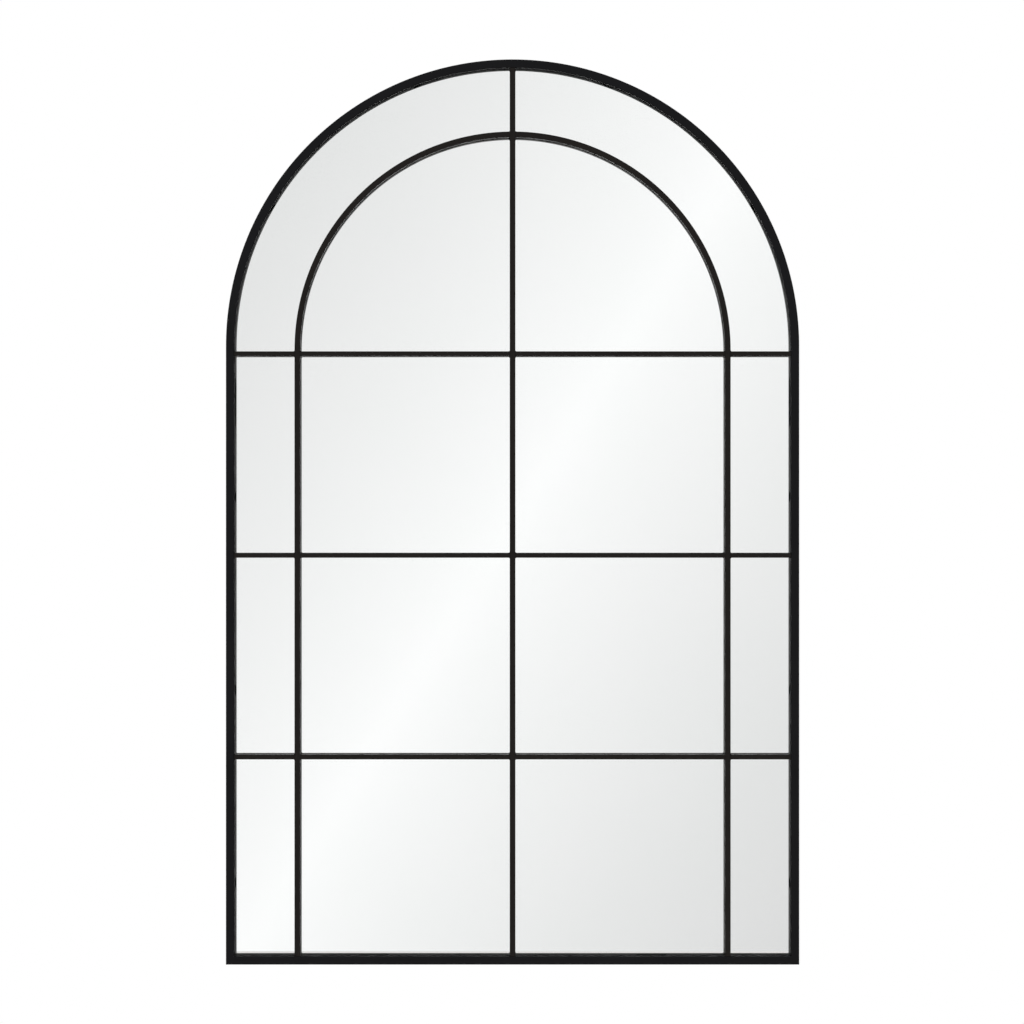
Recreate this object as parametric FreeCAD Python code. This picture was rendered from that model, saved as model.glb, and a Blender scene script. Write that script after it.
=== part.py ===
"""Arched window mirror: welded steel frame and grille, one sheet of mirror glass, hanging rings.

Millimetres. +X is right, +Z is up and the front faces -Y. The origin is at the middle of the
bounding box's underside. Each sub-part is written to parts/NODE.step.
"""

import FreeCAD, Part
import math
import os

# ---- Outline and frame tube -------------------------------------------------------------------
OVERALL_WIDTH = 965.2
OVERALL_HEIGHT = 1524.0
FRAME_FACE = 14.0            # face of the tube seen from the front
REAR_RECESS = 8.0            # from the back of the board to the back of the tube
TUBE_WALL = 1.5
TUBE_CORNER_CHAMFER = 1.0

# ---- Grille -----------------------------------------------------------------------------------
UPRIGHT_FACE = 9.5           # centre bar, uprights and inner arch
CROSS_BAR_FACE = 8.0
BAR_DEPTH = 11.0
BAR_EDGE_CHAMFER = 0.5
SIDE_PANE_WIDTH = 101.5      # clear width between leg and upright
CROWN_PANE_HEIGHT = 107.5    # clear height between the two arches at the crown
UPPER_BAR_DROP = 2.9         # from the foot of the inner arch to the upper cross bars
WELD_FILLET_LEG = 1.4

# ---- Glazing ----------------------------------------------------------------------------------
DOT_THICKNESS = 1.0
DOT_DIAMETER = 6.0
DOT_SIDES = 12
GLASS_THICKNESS = 4.0
GLASS_EDGE_GAP = 1.5
SETTING_BLOCK_LENGTH = 50.0
TAPE_THICKNESS = 1.0
TAPE_WIDTH = 18.0
TAPE_INSET = 26.0            # from the glass edge to the outer edge of the tape
BOARD_THICKNESS = 5.0
BOARD_EDGE_GAP = 0.8

# ---- Clips that hold the board in ---------------------------------------------------------------
CLIP_WIDTH = 15.0
CLIP_FOOT = 14.0
CLIP_THICKNESS = 1.2
FLANGE_SETBACK = 0.4         # of clip and bracket flanges from the back of the tube
CLIPS_PER_LEG = 3
CLIP_END_DISTANCE = 120.0    # from rail or hanger bracket to the nearest clip
ARCH_CLIP_ANGLES = (30.0, 70.0, 110.0, 150.0)
RAIL_CLIP_OFFSET = 250.0     # from the middle of the bottom rail

# ---- Hanging gear -------------------------------------------------------------------------------
HANGER_DROP = 81.4           # from the springing line to the ring's turning axis
BRACKET_MARGIN = 3.0         # of the plate beside the ring
BRACKET_END_MARGIN = 8.0     # of the plate above the ring and below the strap
BRACKET_THICKNESS = 2.0
BRACKET_SCREW_SPACING = 50.0
BRACKET_SCREWS = 2
STRAP_WIDTH = 18.0
STRAP_THICKNESS = 1.2
STRAP_FOLD_GAP = 0.1
STRAP_SCREW_GAP = 3.0        # from the hanging ring to the head of the upper screw
STRAP_SCREW_SPACING = 10.0
STRAP_END_MARGIN = 7.0       # from the lower screw to the strap's lower end
RING_WIRE_DIAMETER = 3.2
RING_SIDES = 8               # of the wire's section round the bends, sides and bow
RING_INNER_WIDTH = 24.0
RING_SIDE_LENGTH = 5.0
RING_BEND_RADIUS = 3.0
RING_BEND_STEPS = 3
RING_BOW_STEPS = 12
RING_SIDE_GAP = 2.0          # to the heads of the screws beside it
RING_RUNNING_GAP = 0.08
RING_REST_GAP = 0.15

# ---- Fasteners and bumpers ----------------------------------------------------------------------
FRAME_SCREW_DIAMETER = 3.0
FRAME_SCREW_HEAD = 5.2
FRAME_SCREW_HEAD_HEIGHT = 2.0
FRAME_SCREW_REACH = 6.0      # from under the head to the tip
HANGER_SCREW_DIAMETER = 4.0
HANGER_SCREW_HEAD = 7.5
HANGER_SCREW_HEAD_HEIGHT = 2.6
HANGER_SCREW_TIP_GAP = 0.3   # from the tip to the board
SCREW_HOLE_GAP = 0.2
THREAD_GAP = 0.03
SCREW_SIDES = 8
BUMPER_DIAMETER = 10.0
BUMPER_HEIGHT = 2.5
BUMPER_CHAMFER = 0.8
BUMPER_SIDES = 20
BUMPER_END_DISTANCE = 60.0   # from the foot and from the springing line

# ---- Places worked out from the sizes above -----------------------------------------------------
HALF_WIDTH = OVERALL_WIDTH / 2
SPRING_Z = OVERALL_HEIGHT - HALF_WIDTH
OPENING_RADIUS = HALF_WIDTH - FRAME_FACE          # inner face of the tube
OPENING_FLOOR = FRAME_FACE                        # top of the bottom rail
GLAZING_DEPTH = DOT_THICKNESS + GLASS_THICKNESS + TAPE_THICKNESS + BOARD_THICKNESS
FRAME_DEPTH = BAR_DEPTH + GLAZING_DEPTH + REAR_RECESS
FRONT_Y = -(FRAME_DEPTH + BUMPER_HEIGHT) / 2
REAR_Y = FRONT_Y + FRAME_DEPTH
BAR_REAR_Y = FRONT_Y + BAR_DEPTH
GLASS_FRONT_Y = BAR_REAR_Y + DOT_THICKNESS
GLASS_REAR_Y = GLASS_FRONT_Y + GLASS_THICKNESS
BOARD_FRONT_Y = GLASS_REAR_Y + TAPE_THICKNESS
BOARD_REAR_Y = BOARD_FRONT_Y + BOARD_THICKNESS

UPRIGHT_OUTER_X = OPENING_RADIUS - SIDE_PANE_WIDTH
UPRIGHT_INNER_X = UPRIGHT_OUTER_X - UPRIGHT_FACE
INNER_SPRING_Z = SPRING_Z + OPENING_RADIUS - CROWN_PANE_HEIGHT - UPRIGHT_OUTER_X
CENTRE_BAR_SIDE = UPRIGHT_FACE / 2
ROW_NAMES = ("lower", "middle", "upper")
ROW_PITCH = (INNER_SPRING_Z - UPPER_BAR_DROP - OPENING_FLOOR) / len(ROW_NAMES)
CROSS_BAR_ROWS = {
    name: OPENING_FLOOR + (index + 1) * ROW_PITCH - CROSS_BAR_FACE / 2
    for index, name in enumerate(ROW_NAMES)
}
CROSS_BAR_SPANS = {
    "outer_left": (-OPENING_RADIUS, -UPRIGHT_OUTER_X),
    "inner_left": (-UPRIGHT_INNER_X, -CENTRE_BAR_SIDE),
    "inner_right": (CENTRE_BAR_SIDE, UPRIGHT_INNER_X),
    "outer_right": (UPRIGHT_OUTER_X, OPENING_RADIUS),
}

RING_HALF_WIDTH = RING_INNER_WIDTH / 2 + RING_WIRE_DIAMETER
RING_AXIS_X = (OPENING_RADIUS - BRACKET_THICKNESS - FRAME_SCREW_HEAD_HEIGHT - RING_SIDE_GAP
               - RING_HALF_WIDTH)
BRACKET_WIDTH = OPENING_RADIUS - RING_AXIS_X + RING_HALF_WIDTH + BRACKET_MARGIN
EYE_RADIUS = RING_WIRE_DIAMETER / 2 + RING_RUNNING_GAP
BRACKET_REAR_Y = BOARD_REAR_Y + BRACKET_THICKNESS
RING_AXIS_Y = BRACKET_REAR_Y + STRAP_THICKNESS + EYE_RADIUS
STRAP_REAR_Y = BRACKET_REAR_Y + 2 * STRAP_THICKNESS + STRAP_FOLD_GAP
RING_BOW_RADIUS = (RING_INNER_WIDTH + RING_WIRE_DIAMETER) / 2
RING_REACH = RING_SIDE_LENGTH + RING_BOW_RADIUS + RING_WIRE_DIAMETER / 2
HANGER_Z = SPRING_Z - HANGER_DROP
STRAP_SCREW_DROP = RING_REACH + STRAP_SCREW_GAP + HANGER_SCREW_HEAD / 2
STRAP_LENGTH = STRAP_SCREW_DROP + STRAP_SCREW_SPACING + STRAP_END_MARGIN
BRACKET_TOP = HANGER_Z + RING_REACH + BRACKET_END_MARGIN
BRACKET_FOOT = HANGER_Z - STRAP_LENGTH - BRACKET_END_MARGIN
HANGER_SCREW_REACH = STRAP_REAR_Y - BOARD_REAR_Y - HANGER_SCREW_TIP_GAP
FLANGE_HEIGHT = REAR_RECESS - FLANGE_SETBACK
CLIP_SCREW_Y = BOARD_REAR_Y + (CLIP_THICKNESS + FLANGE_HEIGHT) / 2
BRACKET_SCREW_Y = BOARD_REAR_Y + (BRACKET_THICKNESS + FLANGE_HEIGHT) / 2
LEG_CLIP_LOW = OPENING_FLOOR + CLIP_END_DISTANCE
LEG_CLIP_HIGH = BRACKET_FOOT - CLIP_END_DISTANCE
LEG_CLIP_HEIGHTS = [
    LEG_CLIP_LOW + index * (LEG_CLIP_HIGH - LEG_CLIP_LOW) / (CLIPS_PER_LEG - 1)
    for index in range(CLIPS_PER_LEG)
]
BRACKET_SCREW_HEIGHTS = [
    (BRACKET_TOP + BRACKET_FOOT) / 2 + (index - (BRACKET_SCREWS - 1) / 2) * BRACKET_SCREW_SPACING
    for index in range(BRACKET_SCREWS)
]
BUMPER_HEIGHTS = (BUMPER_END_DISTANCE, SPRING_Z - BUMPER_END_DISTANCE)

X_AXIS = FreeCAD.Vector(1, 0, 0)
Y_AXIS = FreeCAD.Vector(0, 1, 0)
Z_AXIS = FreeCAD.Vector(0, 0, 1)
ARCH_CENTRE = FreeCAD.Vector(0, 0, SPRING_Z)
INNER_ARCH_CENTRE = FreeCAD.Vector(0, 0, INNER_SPRING_Z)


# ---- Helpers ------------------------------------------------------------------------------------
def vector(x, y, z):
    """A point or direction."""
    return FreeCAD.Vector(x, y, z)


def box(low, high):
    """A box between two opposite corners."""
    size = [b - a for a, b in zip(low, high)]
    return Part.makeBox(*size, vector(*low))


def cylinder(start, direction, radius, length):
    """A cylinder from start along direction."""
    return Part.makeCylinder(radius, length, start, direction)


def flat_loft(sections):
    """A solid through sections with as many corners each, flat from each one to the next."""
    faces = [Part.Face(Part.makePolygon(end + end[:1])) for end in (sections[0], sections[-1])]
    for near, far in zip(sections, sections[1:]):
        for index, corner in enumerate(near):
            after = (index + 1) % len(near)
            side = [corner, near[after], far[after], far[index], corner]
            faces.append(Part.Face(Part.makePolygon(side)))
    return Part.Solid(Part.Shell(faces))


def round_section(centre, across, up, sides, radius):
    """The corners of an even-sided section about a point, from the way across towards up."""
    angles = [2 * math.pi * index / sides for index in range(sides)]
    return [centre + across * radius * math.cos(a) + up * radius * math.sin(a) for a in angles]


def turned_prism(base, direction, sides, stations):
    """A many-sided turned piece: each station is a distance along direction and a radius."""
    turn = FreeCAD.Rotation(Z_AXIS, direction)
    across = turn.multVec(X_AXIS)
    up = turn.multVec(Y_AXIS)
    return flat_loft([
        round_section(base + direction * distance, across, up, sides, radius)
        for distance, radius in stations
    ])


def eased_profile(x0, x1, y0, y1, z, chamfer):
    """A face in the XY plane at height z: a rectangle with its corners taken off."""
    points = [
        vector(x0 + chamfer, y0, z),
        vector(x1 - chamfer, y0, z),
        vector(x1, y0 + chamfer, z),
        vector(x1, y1 - chamfer, z),
        vector(x1 - chamfer, y1, z),
        vector(x0 + chamfer, y1, z),
        vector(x0, y1 - chamfer, z),
        vector(x0, y0 + chamfer, z),
    ]
    return Part.Face(Part.makePolygon(points + points[:1]))


def tube_profile(x0, x1, z):
    """Section of the frame tube in the XY plane: eased outside, square inside."""
    outside = eased_profile(x0, x1, FRONT_Y, REAR_Y, z, TUBE_CORNER_CHAMFER)
    low = vector(x0 + TUBE_WALL, FRONT_Y + TUBE_WALL, z)
    inside = Part.makePlane(x1 - x0 - 2 * TUBE_WALL, FRAME_DEPTH - 2 * TUBE_WALL, low)
    return outside.cut(inside)


def bar_profile(x0, x1, z):
    """Section of an upright grille bar in the XY plane."""
    return eased_profile(x0, x1, FRONT_Y, BAR_REAR_Y, z, BAR_EDGE_CHAMFER)


def mirrored(shape):
    """The same shape on the other side of the middle plane."""
    return shape.mirror(vector(0, 0, 0), X_AXIS)


def arched_sheet(inset, y0, y1):
    """A sheet that fills the frame's opening but for an even inset round its edge."""
    radius = OPENING_RADIUS - inset
    floor = OPENING_FLOOR + inset
    left_foot = vector(-radius, y0, floor)
    right_foot = vector(radius, y0, floor)
    left_spring = vector(-radius, y0, SPRING_Z)
    right_spring = vector(radius, y0, SPRING_Z)
    outline = Part.Wire([
        Part.LineSegment(left_foot, right_foot).toShape(),
        Part.LineSegment(right_foot, right_spring).toShape(),
        Part.Arc(right_spring, vector(0, y0, SPRING_Z + radius), left_spring).toShape(),
        Part.LineSegment(left_spring, left_foot).toShape(),
    ])
    return Part.Face(outline).extrude(vector(0, y1 - y0, 0))


def on_arch(shape, angle):
    """Turns a shape modelled at the right springing point up round the arch by an angle."""
    turned = shape.copy()
    turned.rotate(ARCH_CENTRE, Y_AXIS, -angle)
    return turned


def on_rail(shape):
    """Two copies of a shape modelled against an upright wall at x = 0, laid on the rail."""
    copies = []
    for x in (-RAIL_CLIP_OFFSET, RAIL_CLIP_OFFSET):
        laid = shape.copy()
        laid.rotate(vector(0, 0, 0), Y_AXIS, 90)
        laid.translate(vector(x, 0, OPENING_FLOOR))
        copies.append(laid)
    return copies


# ---- Frame tube ---------------------------------------------------------------------------------
def frame_leg_right():
    """The right leg: tube cut square at the springing line and mitred at the foot."""
    leg = tube_profile(OPENING_RADIUS, HALF_WIDTH, 0).extrude(vector(0, 0, SPRING_Z))
    return leg.cut(mitre_wedge(leg_side=False)).cut(screw_holes_in_leg())


def frame_rail():
    """The bottom rail, mitred at both ends into the legs."""
    upright = tube_profile(0, FRAME_FACE, 0).extrude(vector(0, 0, OVERALL_WIDTH))
    upright.rotate(vector(0, 0, 0), Y_AXIS, 90)
    upright.translate(vector(-HALF_WIDTH, 0, FRAME_FACE))
    wedge = mitre_wedge(leg_side=True)
    return upright.cut(wedge).cut(mirrored(wedge)).cut(screw_holes_in_rail())


def mitre_wedge(leg_side):
    """The half of the right foot corner above the mitre line, or below it for the leg."""
    outer = vector(HALF_WIDTH, FRONT_Y, 0)
    inner = vector(OPENING_RADIUS, FRONT_Y, FRAME_FACE)
    if leg_side:
        corner = vector(HALF_WIDTH, FRONT_Y, FRAME_FACE)
    else:
        corner = vector(OPENING_RADIUS, FRONT_Y, 0)
    wedge = Part.Face(Part.makePolygon([outer, inner, corner, outer]))
    return wedge.extrude(vector(0, FRAME_DEPTH, 0))


def frame_head():
    """The arch: the tube's section turned half a circle about the springing point."""
    section = tube_profile(OPENING_RADIUS, HALF_WIDTH, SPRING_Z)
    arch = section.revolve(ARCH_CENTRE, Y_AXIS, -180)
    return arch.cut(screw_holes_in_arch())


# ---- Grille -------------------------------------------------------------------------------------
def upright_right():
    """A straight bar from the bottom rail to the foot of the inner arch."""
    section = bar_profile(UPRIGHT_INNER_X, UPRIGHT_OUTER_X, OPENING_FLOOR)
    return section.extrude(vector(0, 0, INNER_SPRING_Z - OPENING_FLOOR))


def centre_upright():
    """The full-height bar, its top coped to the curve of the arch."""
    crown = SPRING_Z + OPENING_RADIUS
    section = bar_profile(-CENTRE_BAR_SIDE, CENTRE_BAR_SIDE, OPENING_FLOOR)
    bar = section.extrude(vector(0, 0, crown - OPENING_FLOOR))
    inside = cylinder(vector(0, FRONT_Y, SPRING_Z), Y_AXIS, OPENING_RADIUS, FRAME_DEPTH)
    straight = box((-UPRIGHT_FACE, FRONT_Y, 0), (UPRIGHT_FACE, REAR_Y, SPRING_Z))
    return bar.common(inside.fuse(straight))


def inner_arch_right():
    """A quarter bend from the right upright to the side of the centre bar."""
    section = bar_profile(UPRIGHT_INNER_X, UPRIGHT_OUTER_X, INNER_SPRING_Z)
    bend = section.revolve(INNER_ARCH_CENTRE, Y_AXIS, -90)
    reach = UPRIGHT_OUTER_X + BAR_DEPTH
    keep = box((CENTRE_BAR_SIDE, FRONT_Y, INNER_SPRING_Z), (reach, REAR_Y, INNER_SPRING_Z + reach))
    return bend.common(keep)


def cross_bar(row_z, x0, x1):
    """A level bar between two upright faces."""
    half = CROSS_BAR_FACE / 2
    bar = eased_profile(-half, half, FRONT_Y, BAR_REAR_Y, 0, BAR_EDGE_CHAMFER)
    bar = bar.extrude(vector(0, 0, x1 - x0))
    bar.rotate(vector(0, 0, 0), Y_AXIS, 90)
    bar.translate(vector(x0, 0, row_z))
    return bar


def weld_fillet(x, z, side, up, edge):
    """One triangular fillet in a corner at (x, z) that opens to the given side and way up.

    It lies between the eased edges of the pieces that meet there.
    """
    y = FRONT_Y + edge
    points = [
        vector(x, y, z),
        vector(x + side * WELD_FILLET_LEG, y, z),
        vector(x, y, z + up * WELD_FILLET_LEG),
        vector(x, y, z),
    ]
    depth = BAR_DEPTH - edge - BAR_EDGE_CHAMFER
    return Part.Face(Part.makePolygon(points)).extrude(vector(0, depth, 0))


def weld_fillets():
    """Fillets in every corner that the bars make with each other and with the frame."""
    fillets = []
    sides = (
        (CENTRE_BAR_SIDE, 1, BAR_EDGE_CHAMFER),
        (UPRIGHT_INNER_X, -1, BAR_EDGE_CHAMFER),
        (UPRIGHT_OUTER_X, 1, BAR_EDGE_CHAMFER),
        (OPENING_RADIUS, -1, TUBE_CORNER_CHAMFER),
    )
    for x, side, edge in sides:
        for row_z in CROSS_BAR_ROWS.values():
            for up in (-1, 1):
                fillets.append(weld_fillet(x, row_z + up * CROSS_BAR_FACE / 2, side, up, edge))
        fillets.append(weld_fillet(x, OPENING_FLOOR, side, 1, TUBE_CORNER_CHAMFER))
    for radius, centre_z, up, edge in (
        (OPENING_RADIUS, SPRING_Z, -1, TUBE_CORNER_CHAMFER),
        (UPRIGHT_OUTER_X, INNER_SPRING_Z, 1, BAR_EDGE_CHAMFER),
        (UPRIGHT_INNER_X, INNER_SPRING_Z, -1, BAR_EDGE_CHAMFER),
    ):
        reach = CENTRE_BAR_SIDE + (WELD_FILLET_LEG if up < 0 else 0)
        z = centre_z + math.sqrt(radius ** 2 - reach ** 2)
        fillets.append(weld_fillet(CENTRE_BAR_SIDE, z, 1, up, edge))
    return Part.makeCompound(fillets + [mirrored(f) for f in fillets])


# ---- Glazing ------------------------------------------------------------------------------------
def silicone_dots():
    """Dots between grille and glass, behind the crossings of the bars."""
    half = UPRIGHT_FACE / 2
    upright_x = UPRIGHT_OUTER_X - half
    crown_z = INNER_SPRING_Z + UPRIGHT_OUTER_X - half
    places = [(0, crown_z)]
    places += [(x, z) for x in (-upright_x, 0, upright_x) for z in CROSS_BAR_ROWS.values()]
    dots = [
        turned_prism(vector(x, BAR_REAR_Y, z), Y_AXIS, DOT_SIDES,
                     [(0, DOT_DIAMETER / 2), (DOT_THICKNESS, DOT_DIAMETER / 2)])
        for x, z in places
    ]
    return Part.makeCompound(dots)


def setting_blocks():
    """Two blocks on the bottom rail, at the quarter points of the glass."""
    blocks = []
    for side in (-1, 1):
        middle = side * OPENING_RADIUS / 2
        low = (middle - SETTING_BLOCK_LENGTH / 2, GLASS_FRONT_Y, OPENING_FLOOR)
        high = (middle + SETTING_BLOCK_LENGTH / 2, GLASS_REAR_Y, OPENING_FLOOR + GLASS_EDGE_GAP)
        blocks.append(box(low, high))
    return Part.makeCompound(blocks)


def foam_tape_strips():
    """Upright strips of foam tape, and one across the foot, between glass and board."""
    inset = GLASS_EDGE_GAP + TAPE_INSET
    low_z = OPENING_FLOOR + inset
    strips = []
    for x in (-OPENING_RADIUS + inset, -TAPE_WIDTH / 2, OPENING_RADIUS - inset - TAPE_WIDTH):
        outer = max(abs(x), abs(x + TAPE_WIDTH))
        arch = math.sqrt((OPENING_RADIUS - inset) ** 2 - outer ** 2)
        top = SPRING_Z + min(arch, OPENING_RADIUS - 2 * inset)
        strips.append(box((x, GLASS_REAR_Y, low_z), (x + TAPE_WIDTH, BOARD_FRONT_Y, top)))
    reach = OPENING_RADIUS - inset - TAPE_WIDTH - TAPE_INSET
    for row_z in CROSS_BAR_ROWS.values():
        for side in (-1, 1):
            near = side * (TAPE_WIDTH / 2 + TAPE_INSET)
            x0, x1 = sorted((near, side * reach))
            low = (x0, GLASS_REAR_Y, row_z - TAPE_WIDTH / 2)
            strips.append(box(low, (x1, BOARD_FRONT_Y, row_z + TAPE_WIDTH / 2)))
    return Part.makeCompound(strips)


# ---- Screws and their holes ---------------------------------------------------------------------
def pan_screw(head_centre, direction, diameter, head, head_height, reach):
    """A pan-head screw: its head sits at head_centre and its shank runs along direction."""
    shank = turned_prism(head_centre, direction, SCREW_SIDES, [(0, diameter / 2), (reach, diameter / 2)])
    stations = [(-head_height, head / 3), (-head_height / 2, head / 2), (0, head / 2)]
    cap = turned_prism(head_centre, direction, SCREW_SIDES, stations)
    return cap.fuse(shank).removeSplitter()


def tapped_hole(x, y, z):
    """The cutter for a tapped hole through a tube wall whose inner face stands at x."""
    start = vector(x - TUBE_WALL, y, z)
    return cylinder(start, X_AXIS, FRAME_SCREW_DIAMETER / 2 + THREAD_GAP, 3 * TUBE_WALL)


def screw_holes_in_leg():
    """Tapped holes in the right leg's inner wall, for its clips and its bracket."""
    holes = [tapped_hole(OPENING_RADIUS, CLIP_SCREW_Y, z) for z in LEG_CLIP_HEIGHTS]
    holes += [tapped_hole(OPENING_RADIUS, BRACKET_SCREW_Y, z) for z in BRACKET_SCREW_HEIGHTS]
    return Part.makeCompound(holes)


def screw_holes_in_rail():
    """Tapped holes in the bottom rail's top wall."""
    hole = tapped_hole(0, CLIP_SCREW_Y, 0)
    return Part.makeCompound(on_rail(hole))


def screw_holes_in_arch():
    """Tapped holes in the arch's inner wall."""
    hole = tapped_hole(OPENING_RADIUS, CLIP_SCREW_Y, SPRING_Z)
    return Part.makeCompound([on_arch(hole, angle) for angle in ARCH_CLIP_ANGLES])


def strap_screw_shafts(gap):
    """The shafts of the strap screws, widened by a gap, for both hangers."""
    radius = HANGER_SCREW_DIAMETER / 2 + gap
    shafts = []
    for index in range(2):
        z = HANGER_Z - STRAP_SCREW_DROP - index * STRAP_SCREW_SPACING
        start = vector(RING_AXIS_X, STRAP_REAR_Y, z)
        shafts.append(cylinder(start, -Y_AXIS, radius, STRAP_REAR_Y - BOARD_FRONT_Y))
    return Part.makeCompound(shafts + [mirrored(s) for s in shafts])


# ---- Clips and brackets -------------------------------------------------------------------------
def angle_plate(seat_x, z0, z1, foot, thickness):
    """An angle on the board and against an upright wall at seat_x, to its left."""
    base = box((seat_x - foot, BOARD_REAR_Y, z0), (seat_x, BOARD_REAR_Y + thickness, z1))
    flange = box((seat_x - thickness, BOARD_REAR_Y, z0), (seat_x, BOARD_REAR_Y + FLANGE_HEIGHT, z1))
    return base.fuse(flange).removeSplitter()


def flange_slot(seat_x, y, z, thickness):
    """The cutter for a screw's open slot in a flange that stands against seat_x."""
    half = FRAME_SCREW_DIAMETER / 2 + SCREW_HOLE_GAP
    return box((seat_x - 2 * thickness, y - half, z - half),
               (seat_x + thickness, BOARD_REAR_Y + 2 * FLANGE_HEIGHT, z + half))


def frame_screw(seat_x, y, z, thickness):
    """A screw through a flange of the given thickness into the wall at seat_x."""
    return pan_screw(vector(seat_x - thickness, y, z), X_AXIS, FRAME_SCREW_DIAMETER,
                     FRAME_SCREW_HEAD, FRAME_SCREW_HEAD_HEIGHT, FRAME_SCREW_REACH)


def clip_and_screw(seat_x, z):
    """A retaining clip with its slot, and its screw, against a wall at seat_x."""
    clip = angle_plate(seat_x, z - CLIP_WIDTH / 2, z + CLIP_WIDTH / 2, CLIP_FOOT, CLIP_THICKNESS)
    clip = clip.cut(flange_slot(seat_x, CLIP_SCREW_Y, z, CLIP_THICKNESS))
    return clip, frame_screw(seat_x, CLIP_SCREW_Y, z, CLIP_THICKNESS)


def clips_and_screws():
    """Every retaining clip and every screw into the tube."""
    clips, screws = [], []
    for z in LEG_CLIP_HEIGHTS:
        clip, screw = clip_and_screw(OPENING_RADIUS, z)
        clips += [clip, mirrored(clip)]
        screws += [screw, mirrored(screw)]
    for z in BRACKET_SCREW_HEIGHTS:
        screw = frame_screw(OPENING_RADIUS, BRACKET_SCREW_Y, z, BRACKET_THICKNESS)
        screws += [screw, mirrored(screw)]
    chord_x = math.sqrt(OPENING_RADIUS ** 2 - (CLIP_WIDTH / 2) ** 2)
    clip, screw = clip_and_screw(chord_x, SPRING_Z)
    for angle in ARCH_CLIP_ANGLES:
        clips.append(on_arch(clip, angle))
        screws.append(on_arch(screw, angle))
    clip, screw = clip_and_screw(0, 0)
    clips += on_rail(clip)
    screws += on_rail(screw)
    return Part.makeCompound(clips), Part.makeCompound(screws)


def hanger_bracket_right():
    """The angle plate that carries the right hanger strap."""
    plate = angle_plate(OPENING_RADIUS, BRACKET_FOOT, BRACKET_TOP, BRACKET_WIDTH, BRACKET_THICKNESS)
    for z in BRACKET_SCREW_HEIGHTS:
        plate = plate.cut(flange_slot(OPENING_RADIUS, BRACKET_SCREW_Y, z, BRACKET_THICKNESS))
    return plate.cut(strap_screw_shafts(THREAD_GAP))


# ---- Strap and ring -----------------------------------------------------------------------------
def hanger_strap_right():
    """A strap folded double, whose rolled eye goes round the ring's straight side."""
    inner = EYE_RADIUS
    outer = EYE_RADIUS + STRAP_THICKNESS
    x0 = RING_AXIS_X - STRAP_WIDTH / 2
    axis = vector(x0, RING_AXIS_Y, HANGER_Z)
    across = vector(STRAP_WIDTH, 0, 0)
    eye = cylinder(axis, X_AXIS, outer, STRAP_WIDTH)
    low = HANGER_Z - STRAP_LENGTH
    front_ply = box((x0, BRACKET_REAR_Y, low),
                    (x0 + STRAP_WIDTH, BRACKET_REAR_Y + STRAP_THICKNESS, HANGER_Z))
    rear_ply = box((x0, STRAP_REAR_Y - STRAP_THICKNESS, low),
                   (x0 + STRAP_WIDTH, STRAP_REAR_Y, HANGER_Z - 2 * outer))
    rise = STRAP_REAR_Y - STRAP_THICKNESS
    ramp = Part.makePolygon([
        vector(x0, rise, HANGER_Z - 2 * outer),
        vector(x0, STRAP_REAR_Y, HANGER_Z - 2 * outer),
        vector(x0, RING_AXIS_Y + outer * 0.866, HANGER_Z - outer * 0.5),
        vector(x0, RING_AXIS_Y, HANGER_Z - inner),
        vector(x0, rise, HANGER_Z - outer),
        vector(x0, rise, HANGER_Z - 2 * outer),
    ])
    strap = eye.fuse([front_ply, rear_ply, Part.Face(ramp).extrude(across)])
    strap = strap.cut(cylinder(axis, X_AXIS, inner, STRAP_WIDTH)).removeSplitter()
    return strap.cut(strap_screw_shafts(SCREW_HOLE_GAP))


def ring_rest_tilt():
    """How far the hanging ring leans out from plumb, in degrees, where it rests on its strap."""
    lift = STRAP_REAR_Y + RING_WIRE_DIAMETER / 2 + RING_REST_GAP - RING_AXIS_Y
    reach = RING_SIDE_LENGTH + math.sqrt(RING_BOW_RADIUS ** 2 - (STRAP_WIDTH / 2) ** 2)
    return math.degrees(math.asin(lift / reach))


def ring_swing():
    """Travel of the ring, in degrees, from leaning on the strap to leaning on the bracket."""
    drop = RING_AXIS_Y - BRACKET_REAR_Y - RING_WIRE_DIAMETER / 2 - RING_REST_GAP
    reach = RING_SIDE_LENGTH + RING_BOW_RADIUS
    return 180 - ring_rest_tilt() + math.degrees(math.asin(drop / reach))


def hanger_ring_right():
    """A D of wire: a round side in the strap's eye, then two bends, two sides and a bow."""
    radius = RING_WIRE_DIAMETER / 2
    pivot_half = RING_BOW_RADIUS - RING_BEND_RADIUS

    def at(x, z):
        return vector(RING_AXIS_X + x, RING_AXIS_Y, HANGER_Z + z)

    turns = (
        (at(pivot_half, -RING_BEND_RADIUS), RING_BEND_RADIUS, 90, 0, RING_BEND_STEPS),
        (at(0, -RING_SIDE_LENGTH), RING_BOW_RADIUS, 0, -180, RING_BOW_STEPS),
        (at(-pivot_half, -RING_BEND_RADIUS), RING_BEND_RADIUS, 180, 90, RING_BEND_STEPS),
    )
    sections = []
    for centre, bend, first, last, steps in turns:
        for index in range(steps + 1):
            angle = math.radians(first + (last - first) * index / steps)
            outwards = vector(math.cos(angle), 0, math.sin(angle))
            middle = centre + outwards * bend
            sections.append(round_section(middle, outwards, Y_AXIS, RING_SIDES, radius))
    pivot = cylinder(at(-pivot_half, 0), X_AXIS, radius, 2 * pivot_half)
    ring = pivot.fuse(flat_loft(sections)).removeSplitter()
    ring.rotate(at(0, 0), X_AXIS, ring_rest_tilt())
    return ring


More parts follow.
